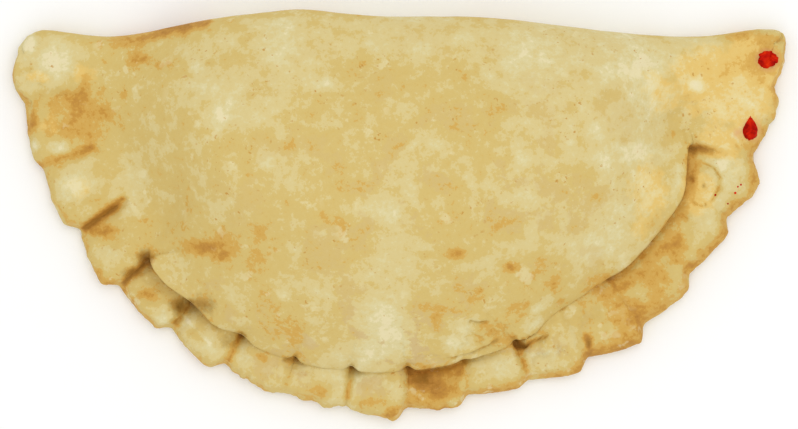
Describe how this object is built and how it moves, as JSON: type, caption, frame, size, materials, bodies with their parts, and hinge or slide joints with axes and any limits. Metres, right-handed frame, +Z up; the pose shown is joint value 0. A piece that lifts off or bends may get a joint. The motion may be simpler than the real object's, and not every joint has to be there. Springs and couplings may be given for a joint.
{
  "type": "empanada",
  "caption": "Baked half-moon pastry turnover, plump and pale golden, folded at the back and pleated shut along its curved front, with red dye dabs on one corner.",
  "frame": {"origin": "on the flat underside, at the middle of the part's box seen from above", "axes": "+X along the fold towards the corner with the dye dabs, +Y from the pleats towards the fold, +Z up"},
  "size_m": [0.1512, 0.08, 0.0254],
  "materials": {
    "crust": "matte baked dough, pale gold with browned patches",
    "dye": "glossy dried red food dye"
  },
  "bodies": {
    "root": {"empanada": "crust"}
  },
  "joints": []
}
